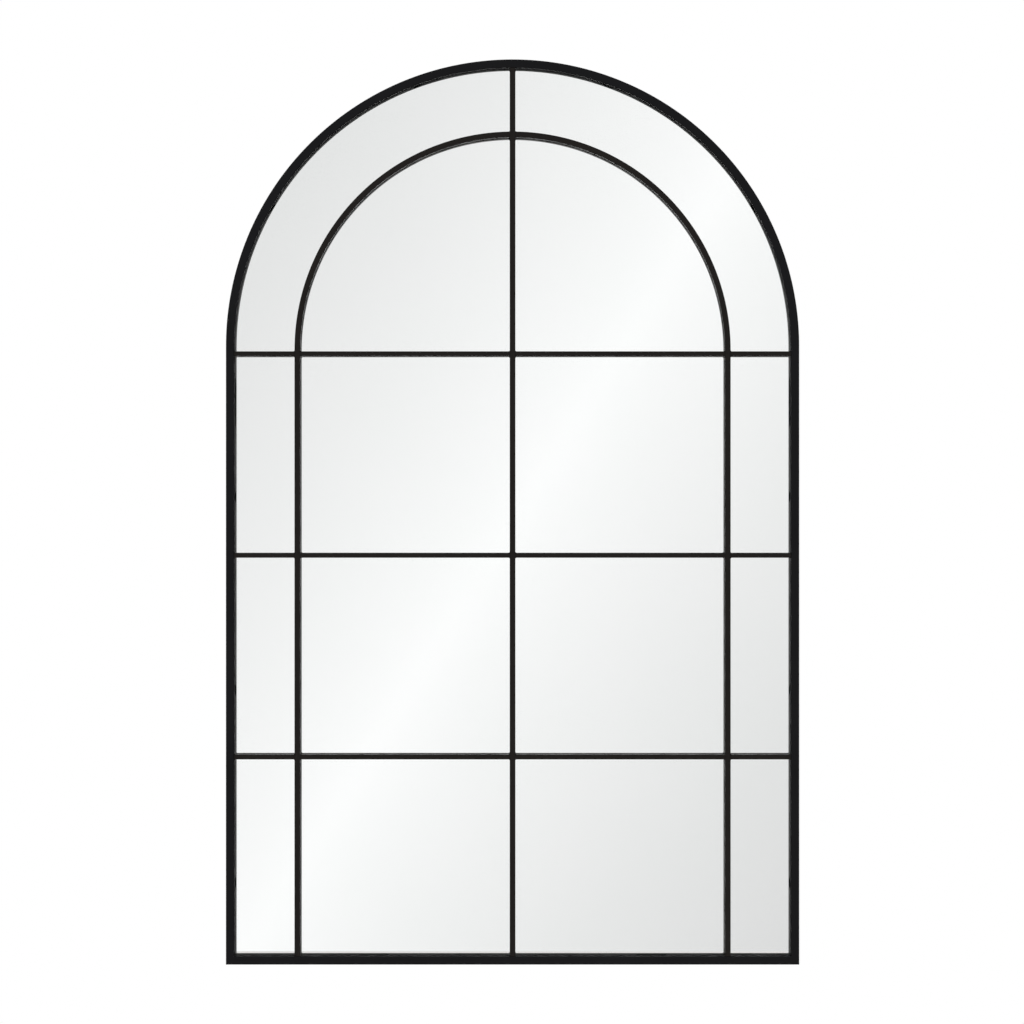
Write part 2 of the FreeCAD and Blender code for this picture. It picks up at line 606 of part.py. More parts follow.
def hanger_screws():
    """The four screws that hold the straps to their brackets."""
    screws = []
    for index in range(2):
        z = HANGER_Z - STRAP_SCREW_DROP - index * STRAP_SCREW_SPACING
        head_centre = vector(RING_AXIS_X, STRAP_REAR_Y, z)
        screws.append(pan_screw(head_centre, -Y_AXIS, HANGER_SCREW_DIAMETER, HANGER_SCREW_HEAD,
                                HANGER_SCREW_HEAD_HEIGHT, HANGER_SCREW_REACH))
    return Part.makeCompound(screws + [mirrored(s) for s in screws])


def wall_bumpers():
    """Rubber bumpers on the rear of the legs."""
    bumpers = []
    for z in BUMPER_HEIGHTS:
        base = vector(HALF_WIDTH - FRAME_FACE / 2, REAR_Y, z)
        radius = BUMPER_DIAMETER / 2
        bumper = turned_prism(base, Y_AXIS, BUMPER_SIDES, [
            (0, radius),
            (BUMPER_HEIGHT - BUMPER_CHAMFER, radius),
            (BUMPER_HEIGHT, radius - BUMPER_CHAMFER),
        ])
        bumpers += [bumper, mirrored(bumper)]
    return Part.makeCompound(bumpers)


# ---- Assembly -----------------------------------------------------------------------------------
def sided(name, shape):
    """A right-hand piece and its mirror image, as two named nodes."""
    return {f"right_{name}": shape, f"left_{name}": mirrored(shape)}


def build_nodes():
    """Every node of the mirror, by name."""
    leg = frame_leg_right()
    bend = inner_arch_right()
    clips, screws = clips_and_screws()
    nodes = {
        "frame_arch": frame_head(),
        "frame_right_leg": leg,
        "frame_left_leg": mirrored(leg),
        "frame_bottom_rail": frame_rail(),
        "centre_bar": centre_upright(),
        "inner_arch_right": bend,
        "inner_arch_left": mirrored(bend),
        "weld_fillets": weld_fillets(),
        "mirror_glass": arched_sheet(GLASS_EDGE_GAP, GLASS_FRONT_Y, GLASS_REAR_Y),
        "silicone_dots": silicone_dots(),
        "setting_blocks": setting_blocks(),
        "foam_tape_strips": foam_tape_strips(),
        "backing_board": arched_sheet(BOARD_EDGE_GAP, BOARD_FRONT_Y, BOARD_REAR_Y),
        "retaining_clips": clips,
        "frame_screws": screws,
        "hanger_screws": hanger_screws(),
        "wall_bumpers": wall_bumpers(),
    }
    nodes.update(sided("upright", upright_right()))
    nodes.update(sided("hanger_bracket", hanger_bracket_right()))
    nodes.update(sided("hanger_strap", hanger_strap_right()))
    nodes.update(sided("hanger_ring", hanger_ring_right()))
    for row, row_z in CROSS_BAR_ROWS.items():
        for span, (x0, x1) in CROSS_BAR_SPANS.items():
            nodes[f"{row}_{span}_bar"] = cross_bar(row_z, x0, x1)
    return nodes


def main():
    """Builds every node, writes it and prints what was written."""
    os.makedirs("parts", exist_ok=True)
    for name, shape in sorted(build_nodes().items()):
        shape.exportStep(f"parts/{name}.step")
        bounds = shape.BoundBox
        print(f"{name:24s} solids {len(shape.Solids):3d} valid {shape.isValid()} "
              f"volume {shape.Volume:12.1f} size {bounds.XLength:.1f} x {bounds.YLength:.1f} "
              f"x {bounds.ZLength:.1f}")
    print(f"ring axis x {RING_AXIS_X:.3f} y {RING_AXIS_Y:.3f} z {HANGER_Z:.3f}")
    print(f"ring rest tilt {ring_rest_tilt():.3f} degrees, swing {ring_swing():.3f} degrees")


main()
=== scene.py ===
"""Arched window mirror: a welded black grille over one pane of mirror glass, dressed on all sides.

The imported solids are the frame. Finer pieces stand for the coarse ones, every surface gets its
finish, and a plain pale studio stands round the mirror. Metres, +Z is up, the front faces -Y.
"""

import logging
import math
from collections.abc import Callable, Iterable
from dataclasses import dataclass, field
from enum import Enum
from typing import Any

import bmesh
import bpy
from mathutils import Matrix, Vector

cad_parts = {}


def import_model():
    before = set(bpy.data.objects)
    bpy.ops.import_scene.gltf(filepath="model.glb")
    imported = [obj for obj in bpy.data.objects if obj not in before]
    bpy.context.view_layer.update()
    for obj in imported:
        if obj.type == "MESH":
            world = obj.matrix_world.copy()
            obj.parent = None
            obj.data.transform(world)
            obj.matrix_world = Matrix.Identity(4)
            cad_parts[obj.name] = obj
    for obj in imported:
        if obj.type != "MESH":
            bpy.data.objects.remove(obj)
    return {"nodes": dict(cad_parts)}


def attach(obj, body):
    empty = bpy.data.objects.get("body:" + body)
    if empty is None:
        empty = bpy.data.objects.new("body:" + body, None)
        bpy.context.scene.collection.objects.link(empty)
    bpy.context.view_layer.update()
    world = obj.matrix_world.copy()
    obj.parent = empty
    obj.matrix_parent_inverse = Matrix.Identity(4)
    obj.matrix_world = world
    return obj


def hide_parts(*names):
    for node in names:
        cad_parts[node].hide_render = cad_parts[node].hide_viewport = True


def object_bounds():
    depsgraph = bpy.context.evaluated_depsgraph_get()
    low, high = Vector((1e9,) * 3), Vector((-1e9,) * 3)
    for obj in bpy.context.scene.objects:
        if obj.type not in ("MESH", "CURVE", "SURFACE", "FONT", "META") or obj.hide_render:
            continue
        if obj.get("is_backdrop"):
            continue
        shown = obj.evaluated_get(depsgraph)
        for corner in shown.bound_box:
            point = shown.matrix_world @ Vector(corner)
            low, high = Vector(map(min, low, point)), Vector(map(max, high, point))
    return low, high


LOG = logging.getLogger("arched_mirror")
Test = Callable[[Vector, Vector], bool]
Triple = tuple[float, float, float]
Stop = tuple[float, Triple]
Piece = bpy.types.Object
Material = bpy.types.Material
Socket = bpy.types.NodeSocket

TOUCH = 1e-6  # closer than this, two points are one
SQUARE_ON = 0.99  # a normal nearer to an axis than this faces along it
DRAWN_IN = 0.7  # how far the ends of a ridged rod are drawn in


@dataclass(frozen=True)
class Layout:
    """The mirror's main places and sizes, in metres, as its solids have them."""

    half_width: float = 0.4826
    spring_z: float = 1.0414
    tube_face: float = 0.014
    tube_wall: float = 0.0015
    tube_chamfer: float = 0.001
    front_y: float = -0.01625
    rear_y: float = 0.01375
    bar_rear_y: float = -0.00525
    glass_front_y: float = -0.00425
    glass_rear_y: float = -0.00025
    film_thickness: float = 0.0001
    film_gap: float = 0.00005
    board_front_y: float = 0.00075
    board_rear_y: float = 0.00575
    upright_inner_x: float = 0.3576
    upright_outer_x: float = 0.3671
    inner_spring_z: float = 1.0354
    centre_bar_side: float = 0.00475
    bar_chamfer: float = 0.0005
    cross_bar_face: float = 0.008
    rows: Triple = (0.3495, 0.6890, 1.0285)

    @property
    def opening_radius(self) -> float:
        """The radius of the arch's inner face, which is also half the opening's width."""
        return self.half_width - self.tube_face

    @property
    def upright_x(self) -> float:
        """The middle of the right upright."""
        return (self.upright_inner_x + self.upright_outer_x) / 2


LAYOUT = Layout()


class Body(Enum):
    """The bodies that pieces ride on."""

    MIRROR = "mirror"
    LEFT_RING = "left_ring"
    RIGHT_RING = "right_ring"


class Slot(Enum):
    """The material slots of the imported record."""

    POWDER = "black_powder_coat"
    GLASS = "silvered_glass"
    BOARD = "fibreboard"
    FOAM = "foam_tape"
    SILICONE = "clear_silicone"
    RUBBER = "black_rubber"
    ZINC = "zinc_plated_steel"


class Level(Enum):
    """The kind of element that is selected in edit mode."""

    VERTEX = "VERT"
    EDGE = "EDGE"
    FACE = "FACE"


# ---- The modelling bench ----


def choose(*pieces: Piece) -> None:
    """Selects these objects and nothing else, and makes the first one active."""
    bpy.ops.object.select_all(action="DESELECT")
    for piece in pieces:
        piece.select_set(True)
    bpy.context.view_layer.objects.active = pieces[0]


def take(name: str) -> Piece:
    """Names the primitive just added and puts its place and turn into its mesh."""
    piece = bpy.context.active_object
    piece.name = piece.data.name = name
    choose(piece)
    bpy.ops.object.transform_apply(location=True, rotation=True, scale=True)
    return piece


class Bench:
    """Edit mode on one piece, whose elements are selected by their place and direction."""

    def __init__(self, piece: Piece) -> None:
        """Notes the piece to be shaped."""
        self.piece = piece

    def __enter__(self) -> "Bench":
        """Opens edit mode with everything selected."""
        choose(self.piece)
        bpy.ops.object.mode_set(mode="EDIT")
        self.everything()
        return self

    def __exit__(self, *_: object) -> None:
        """Closes edit mode."""
        bpy.ops.object.mode_set(mode="OBJECT")

    def everything(self) -> None:
        """Selects the whole mesh."""
        bpy.ops.mesh.select_all(action="SELECT")

    def pick(self, level: Level, test: Test) -> None:
        """Selects the elements that pass a test.

        Args:
            level: The kind of element.
            test: Takes an element's middle and its normal, or an edge's direction.
        """
        bpy.ops.mesh.select_mode(type=level.value)
        bpy.ops.mesh.select_all(action="DESELECT")
        mesh = bmesh.from_edit_mesh(self.piece.data)
        mesh.normal_update()
        if level is Level.VERTEX:
            found = [(v, v.co.copy(), v.normal.copy()) for v in mesh.verts]
        elif level is Level.EDGE:
            ends = [(e, e.verts[0].co, e.verts[1].co) for e in mesh.edges]
            found = [(e, (a + b) / 2, (b - a).normalized()) for e, a, b in ends]
        else:
            found = [(f, f.calc_center_median(), f.normal.copy()) for f in mesh.faces]
        for element, place, way in found:
            if test(place, way):
                element.select_set(True)
        mesh.select_flush_mode()
        bmesh.update_edit_mesh(self.piece.data)

    def extrude(self, move: Triple) -> None:
        """Extrudes the selected faces and moves the new ones."""
        bpy.ops.mesh.extrude_region_move(TRANSFORM_OT_translate={"value": move})

    def extrude_edges(self, move: Triple) -> None:
        """Extrudes the selected edges into faces."""
        bpy.ops.mesh.extrude_edges_move(TRANSFORM_OT_translate={"value": move})

    def turn(self, degrees: float, centre: Triple, steps: int) -> None:
        """Spins the selection about a level axis along Y, from +X up towards +Z."""
        angle = math.radians(degrees)
        bpy.ops.mesh.spin(steps=steps, angle=angle, center=centre, axis=(0, 1, 0))

    def scale(self, factors: Triple, centre: Triple) -> None:
        """Scales the selection about a point."""
        bpy.ops.transform.resize(value=factors, center_override=centre)

    def bevel(self, width: float, segments: int = 1, corners: bool = False) -> None:
        """Bevels the selected edges, or the selected corners of a flat outline."""
        affect = "VERTICES" if corners else "EDGES"
        bpy.ops.mesh.bevel(offset=width, segments=segments, affect=affect)

    def face_outwards(self) -> None:
        """Merges doubles and turns every face outwards."""
        self.everything()
        bpy.ops.mesh.remove_doubles(threshold=TOUCH)
        bpy.ops.mesh.normals_make_consistent(inside=False)


def disc(name: str, radius: float, front_y: float, depth: float, sides: int = 40) -> Piece:
    """Adds a round disc along Y, which reaches back from a depth."""
    bpy.ops.mesh.primitive_cylinder_add(
        vertices=sides, radius=radius, depth=depth, rotation=(math.pi / 2, 0, 0),
        location=(0, front_y + depth / 2, 0),
    )
    return take(name)


def apply_modifier(piece: Piece, kind: str, **settings: Any) -> None:
    """Adds one kind of modifier to a piece, with its settings by name, and applies it."""
    choose(piece)
    modifier = piece.modifiers.new(kind.lower(), kind)
    for key, value in settings.items():
        setattr(modifier, key, value)
    bpy.ops.object.modifier_apply(modifier=modifier.name)


def smooth(piece: Piece, degrees: float) -> None:
    """Shades a piece smooth but for edges sharper than an angle."""
    choose(piece)
    bpy.ops.object.shade_smooth_by_angle(angle=math.radians(degrees))


def stamp(pattern: Piece, name: str, placing: Matrix) -> Piece:
    """Copies a pattern piece, with a mesh of its own, into its place."""
    copy = pattern.copy()
    copy.data = pattern.data.copy()
    copy.name = copy.data.name = name
    copy.data.transform(placing)
    bpy.context.scene.collection.objects.link(copy)
    return copy


def unite(name: str, pieces: list[Piece]) -> Piece:
    """Joins pieces into one object with one name."""
    choose(*pieces)
    bpy.ops.object.join()
    pieces[0].name = pieces[0].data.name = name
    return pieces[0]


def scrap(pattern: Piece) -> None:
    """Removes a pattern once its copies are made."""
    bpy.data.objects.remove(pattern, do_unlink=True)


def ridged_rod(
    name: str, radius: float, ridge: float, pitch: float, turns: int, sides: int
) -> Piece:
    """Models a rod along +Y from the origin, with ridges along it and drawn-in ends.

    Args:
        name: The rod's name.
        radius: Its radius between the ridges.
        ridge: How far a ridge stands up.
        pitch: The distance from ridge to ridge.
        turns: The number of ridges.
        sides: The number of sides.

    Returns:
        The rod.
    """
    size = DRAWN_IN * radius
    bpy.ops.mesh.primitive_circle_add(
        vertices=sides, radius=size, fill_type="NGON", rotation=(math.pi / 2, 0, 0)
    )
    rod = take(name)
    with Bench(rod) as bench:
        for step in range(1, 2 * turns + 1):
            target = radius + ridge if step % 2 else radius
            if step == 2 * turns:
                target = DRAWN_IN * radius
            bench.extrude((0, pitch / 2, 0))
            factor = target / size
            bench.scale((factor, 1, factor), (0, step * pitch / 2, 0))
            size = target
        bench.face_outwards()
    smooth(rod, 60)
    return rod


# ---- Finishes ----


class Nodes:
    """A node tree that is filled node by node."""

    def __init__(self, tree: bpy.types.NodeTree) -> None:
        """Empties the tree."""
        self.tree = tree
        tree.nodes.clear()

    def add(self, kind: str, **entries: Any) -> bpy.types.Node:
        """Adds a node and fills its sockets, by name with _ for each space, or by n and number.

        Args:
            kind: The node's type, without the word that all of them start with.
            entries: Numbers, colours or sockets.

        Returns:
            The node.
        """
        node = self.tree.nodes.new(f"ShaderNode{kind}")
        for key, value in entries.items():
            entry = node.inputs[int(key[1:]) if key[1:].isdigit() else key.replace("_", " ")]
            if isinstance(value, Socket):
                self.tree.links.new(value, entry)
            else:
                entry.default_value = value
        return node

    def calc(self, operation: str, *terms: Socket | float) -> Socket:
        """One sum, such as ADD, on sockets or numbers."""
        node = self.add("Math", **{f"n{i}": term for i, term in enumerate(terms)})
        node.operation = operation
        return node.outputs[0]

    def seen(self) -> Socket:
        """1 for what the camera, a reflection or glass shows, and 0 for light on surfaces."""
        path = self.add("LightPath").outputs
        shown = self.calc("MAXIMUM", path["Is Camera Ray"], path["Is Glossy Ray"])
        return self.calc("MAXIMUM", shown, path["Is Transmission Ray"])


class Graph(Nodes):
    """The nodes of one finish, round a principled shader."""

    def __init__(self, name: str, **constants: Any) -> None:
        """Starts the material.

        Args:
            name: The material's name.
            constants: Values of the shader's own sockets, with _ for each space.
        """
        self.material = bpy.data.materials.new(name)
        self.material.use_nodes = True
        super().__init__(self.material.node_tree)
        self.shader = self.add("BsdfPrincipled", **constants)
        self.add("OutputMaterial", Surface=self.shader.outputs["BSDF"])
        self.place = self.add("TexCoord").outputs["Object"]

    def stretched(self, factors: Triple) -> Socket:
        """Object coordinates with each axis multiplied by a factor."""
        return self.add("Mapping", Vector=self.place, Scale=factors).outputs["Vector"]

    def noise(self, size: float, detail: float, where: Socket | None = None) -> Socket:
        """A soft random pattern with spots of a size in metres and some finer layers."""
        place = where or self.place
        node = self.add("TexNoise", Scale=1.0 / size, Detail=detail, Vector=place)
        return node.outputs[0]

    def cells(self, size: float) -> Socket:
        """The distance to the nearest point of a random grid of cells."""
        node = self.add("TexVoronoi", Scale=1.0 / size, Vector=self.place)
        return node.outputs["Distance"]

    def mixed(self, *shares: tuple[float, Socket]) -> Socket:
        """Adds up patterns, each multiplied by its share."""
        total, *others = [self.calc("MULTIPLY", pattern, share) for share, pattern in shares]
        for other in others:
            total = self.calc("ADD", total, other)
        return total

    def tint(self, source: Socket, *stops: Stop) -> None:
        """Colours the surface by a pattern.

        Args:
            source: The pattern.
            stops: Pairs of a value and its colour, in rising order.
        """
        node = self.add("ValToRGB", Fac=source)
        elements = node.color_ramp.elements
        while len(elements) < len(stops):
            elements.new(0.5)
        for element, (position, colour) in zip(elements, stops):
            element.position = position
            element.color = (*colour, 1.0)
        self.tree.links.new(node.outputs["Color"], self.shader.inputs["Base Color"])

    def roughen(self, source: Socket, low: float, high: float) -> None:
        """Spreads the roughness over a range by a pattern, whose own range is the usual one."""
        node = self.add("MapRange", Value=source, From_Min=0.25, From_Max=0.75,
                        To_Min=low, To_Max=high)
        self.tree.links.new(node.outputs[0], self.shader.inputs["Roughness"])

    def emboss(self, height: Socket, depth: float, strength: float = 0.5) -> None:
        """Bumps the surface by a height pattern of a given depth in metres."""
        node = self.add("Bump", Height=height, Distance=depth, Strength=strength)
        self.tree.links.new(node.outputs["Normal"], self.shader.inputs["Normal"])


@dataclass(frozen=True)
class PowderCoat:
    """Satin black powder coat: fine orange peel, faint clouding and a dressed weld."""

    name: str
    dark: Triple = (0.0040, 0.0041, 0.0050)
    pale: Triple = (0.0078, 0.0079, 0.0094)
    roughness: tuple[float, float] = (0.32, 0.44)
    specular: float = 0.09
    peel: float = 0.0011
    weld_z: float | None = None
    weld_reach: float = 0.004
    weld_height: float = 4.0

    def build(self) -> Material:
        """Builds the material."""
        graph = Graph(self.name, Specular_IOR_Level=self.specular)
        clouds, specks = graph.noise(0.11, 3.0), graph.noise(0.0006, 1.0)
        graph.tint(graph.mixed((0.6, clouds), (0.4, specks)), (0.3, self.dark), (0.7, self.pale))
        graph.roughen(graph.noise(0.03, 2.0), *self.roughness)
        height = graph.noise(self.peel, 2.0)
        if self.weld_z is not None:
            up = graph.add("SeparateXYZ", Vector=graph.place).outputs["Z"]
            away = graph.calc("ABSOLUTE", graph.calc("SUBTRACT", up, self.weld_z))
            near = graph.calc("SUBTRACT", 1.0, graph.calc("MULTIPLY", away, 1 / self.weld_reach))
            near = graph.calc("MAXIMUM", near, 0.0)
            ripple = graph.calc("MULTIPLY", near, graph.noise(0.0035, 3.0))
            height = graph.calc("ADD", height, graph.calc("MULTIPLY", ripple, self.weld_height))
        graph.emboss(height, 0.00003)
        return graph.material


@dataclass(frozen=True)
class Grained:
    """A plain finish with one pattern, of noise or of cells, for its tint and any grain."""

    name: str
    size: float
    detail: float | None
    dark: Stop
    pale: Stop
    roughness: tuple[float, float] | None = None
    depth: float = 0.0
    strength: float = 0.4
    constants: tuple[tuple[str, float], ...] = ()

    def build(self) -> Material:
        """Builds the material."""
        graph = Graph(self.name, **dict(self.constants))
        cells = self.detail is None
        grain = graph.cells(self.size) if cells else graph.noise(self.size, self.detail)
        graph.tint(grain, self.dark, self.pale)
        if self.roughness:
            graph.roughen(grain, *self.roughness)
        if self.depth:
            graph.emboss(grain, self.depth, self.strength)
        return graph.material


@dataclass(frozen=True)
class Fibreboard:
    """Medium fibreboard: matted short fibres, darker flecks and a slight sheen of pressing."""

    name: str = "fibreboard_face"
    dark: Stop = (0.28, (0.11, 0.060, 0.030))
    middle: Stop = (0.5, (0.27, 0.165, 0.092))
    pale: Stop = (0.72, (0.38, 0.250, 0.150))
    lengthwise: Triple = (1.0, 1.0, 0.45)
    sideways: Triple = (0.8, 1.0, 1.0)
    fleck_edge: float = 0.12
    fleck_tone: float = -0.16

    def build(self) -> Material:
        """Builds the material."""
        graph = Graph(self.name, Specular_IOR_Level=0.3)
        fibres = graph.noise(0.0009, 5.0, graph.stretched(self.lengthwise))
        crossing = graph.noise(0.0032, 4.0, graph.stretched(self.sideways))
        flecks = graph.calc("LESS_THAN", graph.cells(0.006), self.fleck_edge)
        blotches = graph.noise(0.16, 3.0)
        tone = graph.mixed(
            (0.52, fibres), (0.30, crossing), (0.18, blotches), (self.fleck_tone, flecks)
        )
        graph.tint(tone, self.dark, self.middle, self.pale)
        graph.roughen(fibres, 0.62, 0.82)
        graph.emboss(fibres, 0.00007, 0.4)
        return graph.material


@dataclass(frozen=True)
class Rubber:
    """Moulded black rubber with a fine matt grain and a bloom of dust."""

    name: str = "moulded_rubber"

    def build(self) -> Material:
        """Builds the material."""
        graph = Graph(self.name, Specular_IOR_Level=0.35)
        grain, bloom = graph.noise(0.0005, 3.0), graph.noise(0.006, 2.0)
        tone = graph.mixed((0.4, grain), (0.6, bloom))
        graph.tint(tone, (0.35, (0.012, 0.012, 0.012)), (0.7, (0.034, 0.033, 0.032)))
        graph.roughen(bloom, 0.60, 0.78)
        graph.emboss(grain, 0.00006)
        return graph.material


@dataclass(frozen=True)
class Zinc:
    """Zinc plate on steel: brushed along one way, with the faint clouds of its passivation."""

    name: str
    brushed: Triple
    roughness: tuple[float, float]
    dark: Triple
    middle: Triple
    pale: Triple

    def build(self) -> Material:
        """Builds the material."""
        graph = Graph(self.name, Metallic=1.0)
        brush = graph.noise(0.0004, 3.0, graph.stretched(self.brushed))
        tone = graph.mixed((0.35, brush), (0.65, graph.noise(0.012, 3.0)))
        graph.tint(tone, (0.3, self.dark), (0.5, self.middle), (0.7, self.pale))
        graph.roughen(tone, *self.roughness)
        graph.emboss(brush, 0.00002)
        return graph.material


class Finishes:
    """Every finish of the mirror, built once."""

    def __init__(self) -> None:
        """Builds the materials."""
        self.bars = PowderCoat(
            "powder_coat_bars", (0.0095, 0.0080, 0.0072), (0.0150, 0.0128, 0.0116)
        ).build()
        self.tube = PowderCoat("powder_coat_tube", weld_z=LAYOUT.spring_z).build()
        self.weld = PowderCoat("powder_coat_weld", peel=0.0007).build()
        self.glazing()
        self.linings()
        self.plating()

    def glazing(self) -> None:
        """Builds the pane's faint green, its ground edge, the silver and the paint behind it. The
        ground edge is opaque and dark: its own green tint plus painted shade of the narrow gap
        between pane and tube.
        """
        self.glass = Grained(
            "glass_face", 0.25, 1.0, (0.3, (0.9915, 0.9970, 0.9940)),
            (0.7, (0.9965, 0.9990, 0.9980)),
            constants=(("Transmission_Weight", 1.0), ("IOR", 1.52), ("Roughness", 0.0)),
        ).build()
        # Painted shade: the edge's dark green-grey stands in for the shade in the gap between the
        # pane and the tube, over the glass's own green tint.
        self.glass_edge_painted_shade = Grained(
            "glass_seamed_edge_painted_shade", 0.0009, 3.0, (0.3, (0.052, 0.066, 0.058)),
            (0.7, (0.115, 0.132, 0.120)), (0.45, 0.65), 0.0001,
            constants=(("Specular_IOR_Level", 0.4),),
        ).build()
        self.silver = Grained(
            "silver_film", 0.30, 2.0, (0.3, (0.992, 0.994, 0.993)), (0.7, (0.997, 0.998, 0.997)),
            constants=(("Metallic", 1.0), ("Roughness", 0.0)),
        ).build()
        self.paint = Grained(
            "mirror_backing_paint", 0.004, 4.0, (0.3, (0.16, 0.17, 0.18)),
            (0.7, (0.21, 0.22, 0.23)), (0.5, 0.65), 0.00004,
        ).build()

    def linings(self) -> None:
        """Builds the board, the closed-cell foam, the milky silicone and the rubber."""
        self.board = Fibreboard().build()
        self.foam = Grained(
            "foam_tape_face", 0.0007, None, (0.1, (0.55, 0.55, 0.52)), (0.6, (0.80, 0.80, 0.77)),
            (0.8, 0.95), 0.0002, 0.5, (("Specular_IOR_Level", 0.2),),
        ).build()
        self.silicone = Grained(
            "clear_silicone_bead", 0.002, 2.0, (0.3, (0.74, 0.76, 0.76)),
            (0.7, (0.88, 0.89, 0.89)), (0.22, 0.40), 0.0001,
            constants=(("Transmission_Weight", 0.7), ("IOR", 1.41)),
        ).build()
        self.rubber = Rubber().build()

    def plating(self) -> None:
        """Builds the zinc of the plates, straps, rings and screws."""
        self.plate = Zinc(
            "zinc_brushed_along_z", (1.0, 1.0, 0.06), (0.26, 0.44),
            (0.27, 0.28, 0.31), (0.36, 0.37, 0.39), (0.46, 0.45, 0.42),
        ).build()
        self.strap = Zinc(
            "zinc_brushed_along_strap", (1.0, 0.5, 0.05), (0.24, 0.40),
            (0.40, 0.41, 0.44), (0.50, 0.51, 0.53), (0.60, 0.59, 0.56),
        ).build()
        self.wire = Zinc(
            "zinc_drawn_wire", (0.05, 1.0, 1.0), (0.16, 0.28),
            (0.20, 0.21, 0.23), (0.28, 0.29, 0.30), (0.36, 0.35, 0.33),
        ).build()
        self.screw = Zinc(
            "zinc_screw", (1.0, 1.0, 1.0), (0.20, 0.34),
            (0.30, 0.31, 0.34), (0.42, 0.43, 0.45), (0.52, 0.51, 0.48),
        ).build()


# ---- Groups of pieces ----


def settle(
    piece: Piece, slot: Slot, materials: Iterable[Material], *replaced: str,
    body: Body = Body.MIRROR,
) -> None:
    """Gives a new piece its body and its finishes, and hides the nodes it stands for.

    Args:
        piece: The new piece.
        slot: The record's slot that its finish comes from; not used.
        materials: Its materials in the order of its faces' numbers.
        replaced: The solids that it stands for.
        body: The body it rides on.
    """
    for material in materials:
        piece.data.materials.append(material)
    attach(piece, body.value)
    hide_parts(*replaced)
    LOG.info("%s: %d faces", piece.name, len(piece.data.polygons))


class Group:
    """One group of the mirror's pieces."""

    def __init__(self, finishes: Finishes, nodes: dict[str, Piece]) -> None:
        """Notes the finishes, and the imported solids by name."""
        self.finishes = finishes
        self.nodes = nodes

    def coat(self, name: str, finish: Material) -> None:
        """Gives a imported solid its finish."""
        for entry in self.nodes[name].material_slots:
            entry.material = finish
        LOG.info("%s: dressed", name)


# ---- Frame and grille ----


@dataclass
class Bend:
    """A section turned about a level axis through a half circle."""

    inner_radius: float
    outer_radius: float
    rear_y: float
    centre_z: float
    chamfer: float
    steps: int
    wall: float = 0.0

    def model(self, name: str) -> Piece:
        """Models the bend from its right-hand end upwards.

        Args:
            name: The bend's name.

        Returns:
            The bend, hollow where it has a wall.
        """
        middle_y = (LAYOUT.front_y + self.rear_y) / 2
        bpy.ops.mesh.primitive_plane_add(
            size=1, location=((self.inner_radius + self.outer_radius) / 2, middle_y, self.centre_z)
        )
        bpy.context.active_object.scale = (
            self.outer_radius - self.inner_radius, self.rear_y - LAYOUT.front_y, 1
        )
        bend = take(name)
        with Bench(bend) as bench:
            bench.bevel(self.chamfer, 1, corners=True)
            if self.wall:
                bpy.ops.mesh.delete(type="ONLY_FACE")
                bench.everything()
            bench.turn(180.0, (0, 0, self.centre_z), self.steps)
            bench.face_outwards()
        if self.wall:
            apply_modifier(bend, "SOLIDIFY", thickness=self.wall, offset=-1.0, use_rim=True,
                           use_even_offset=True)
        smooth(bend, 20)
        return bend


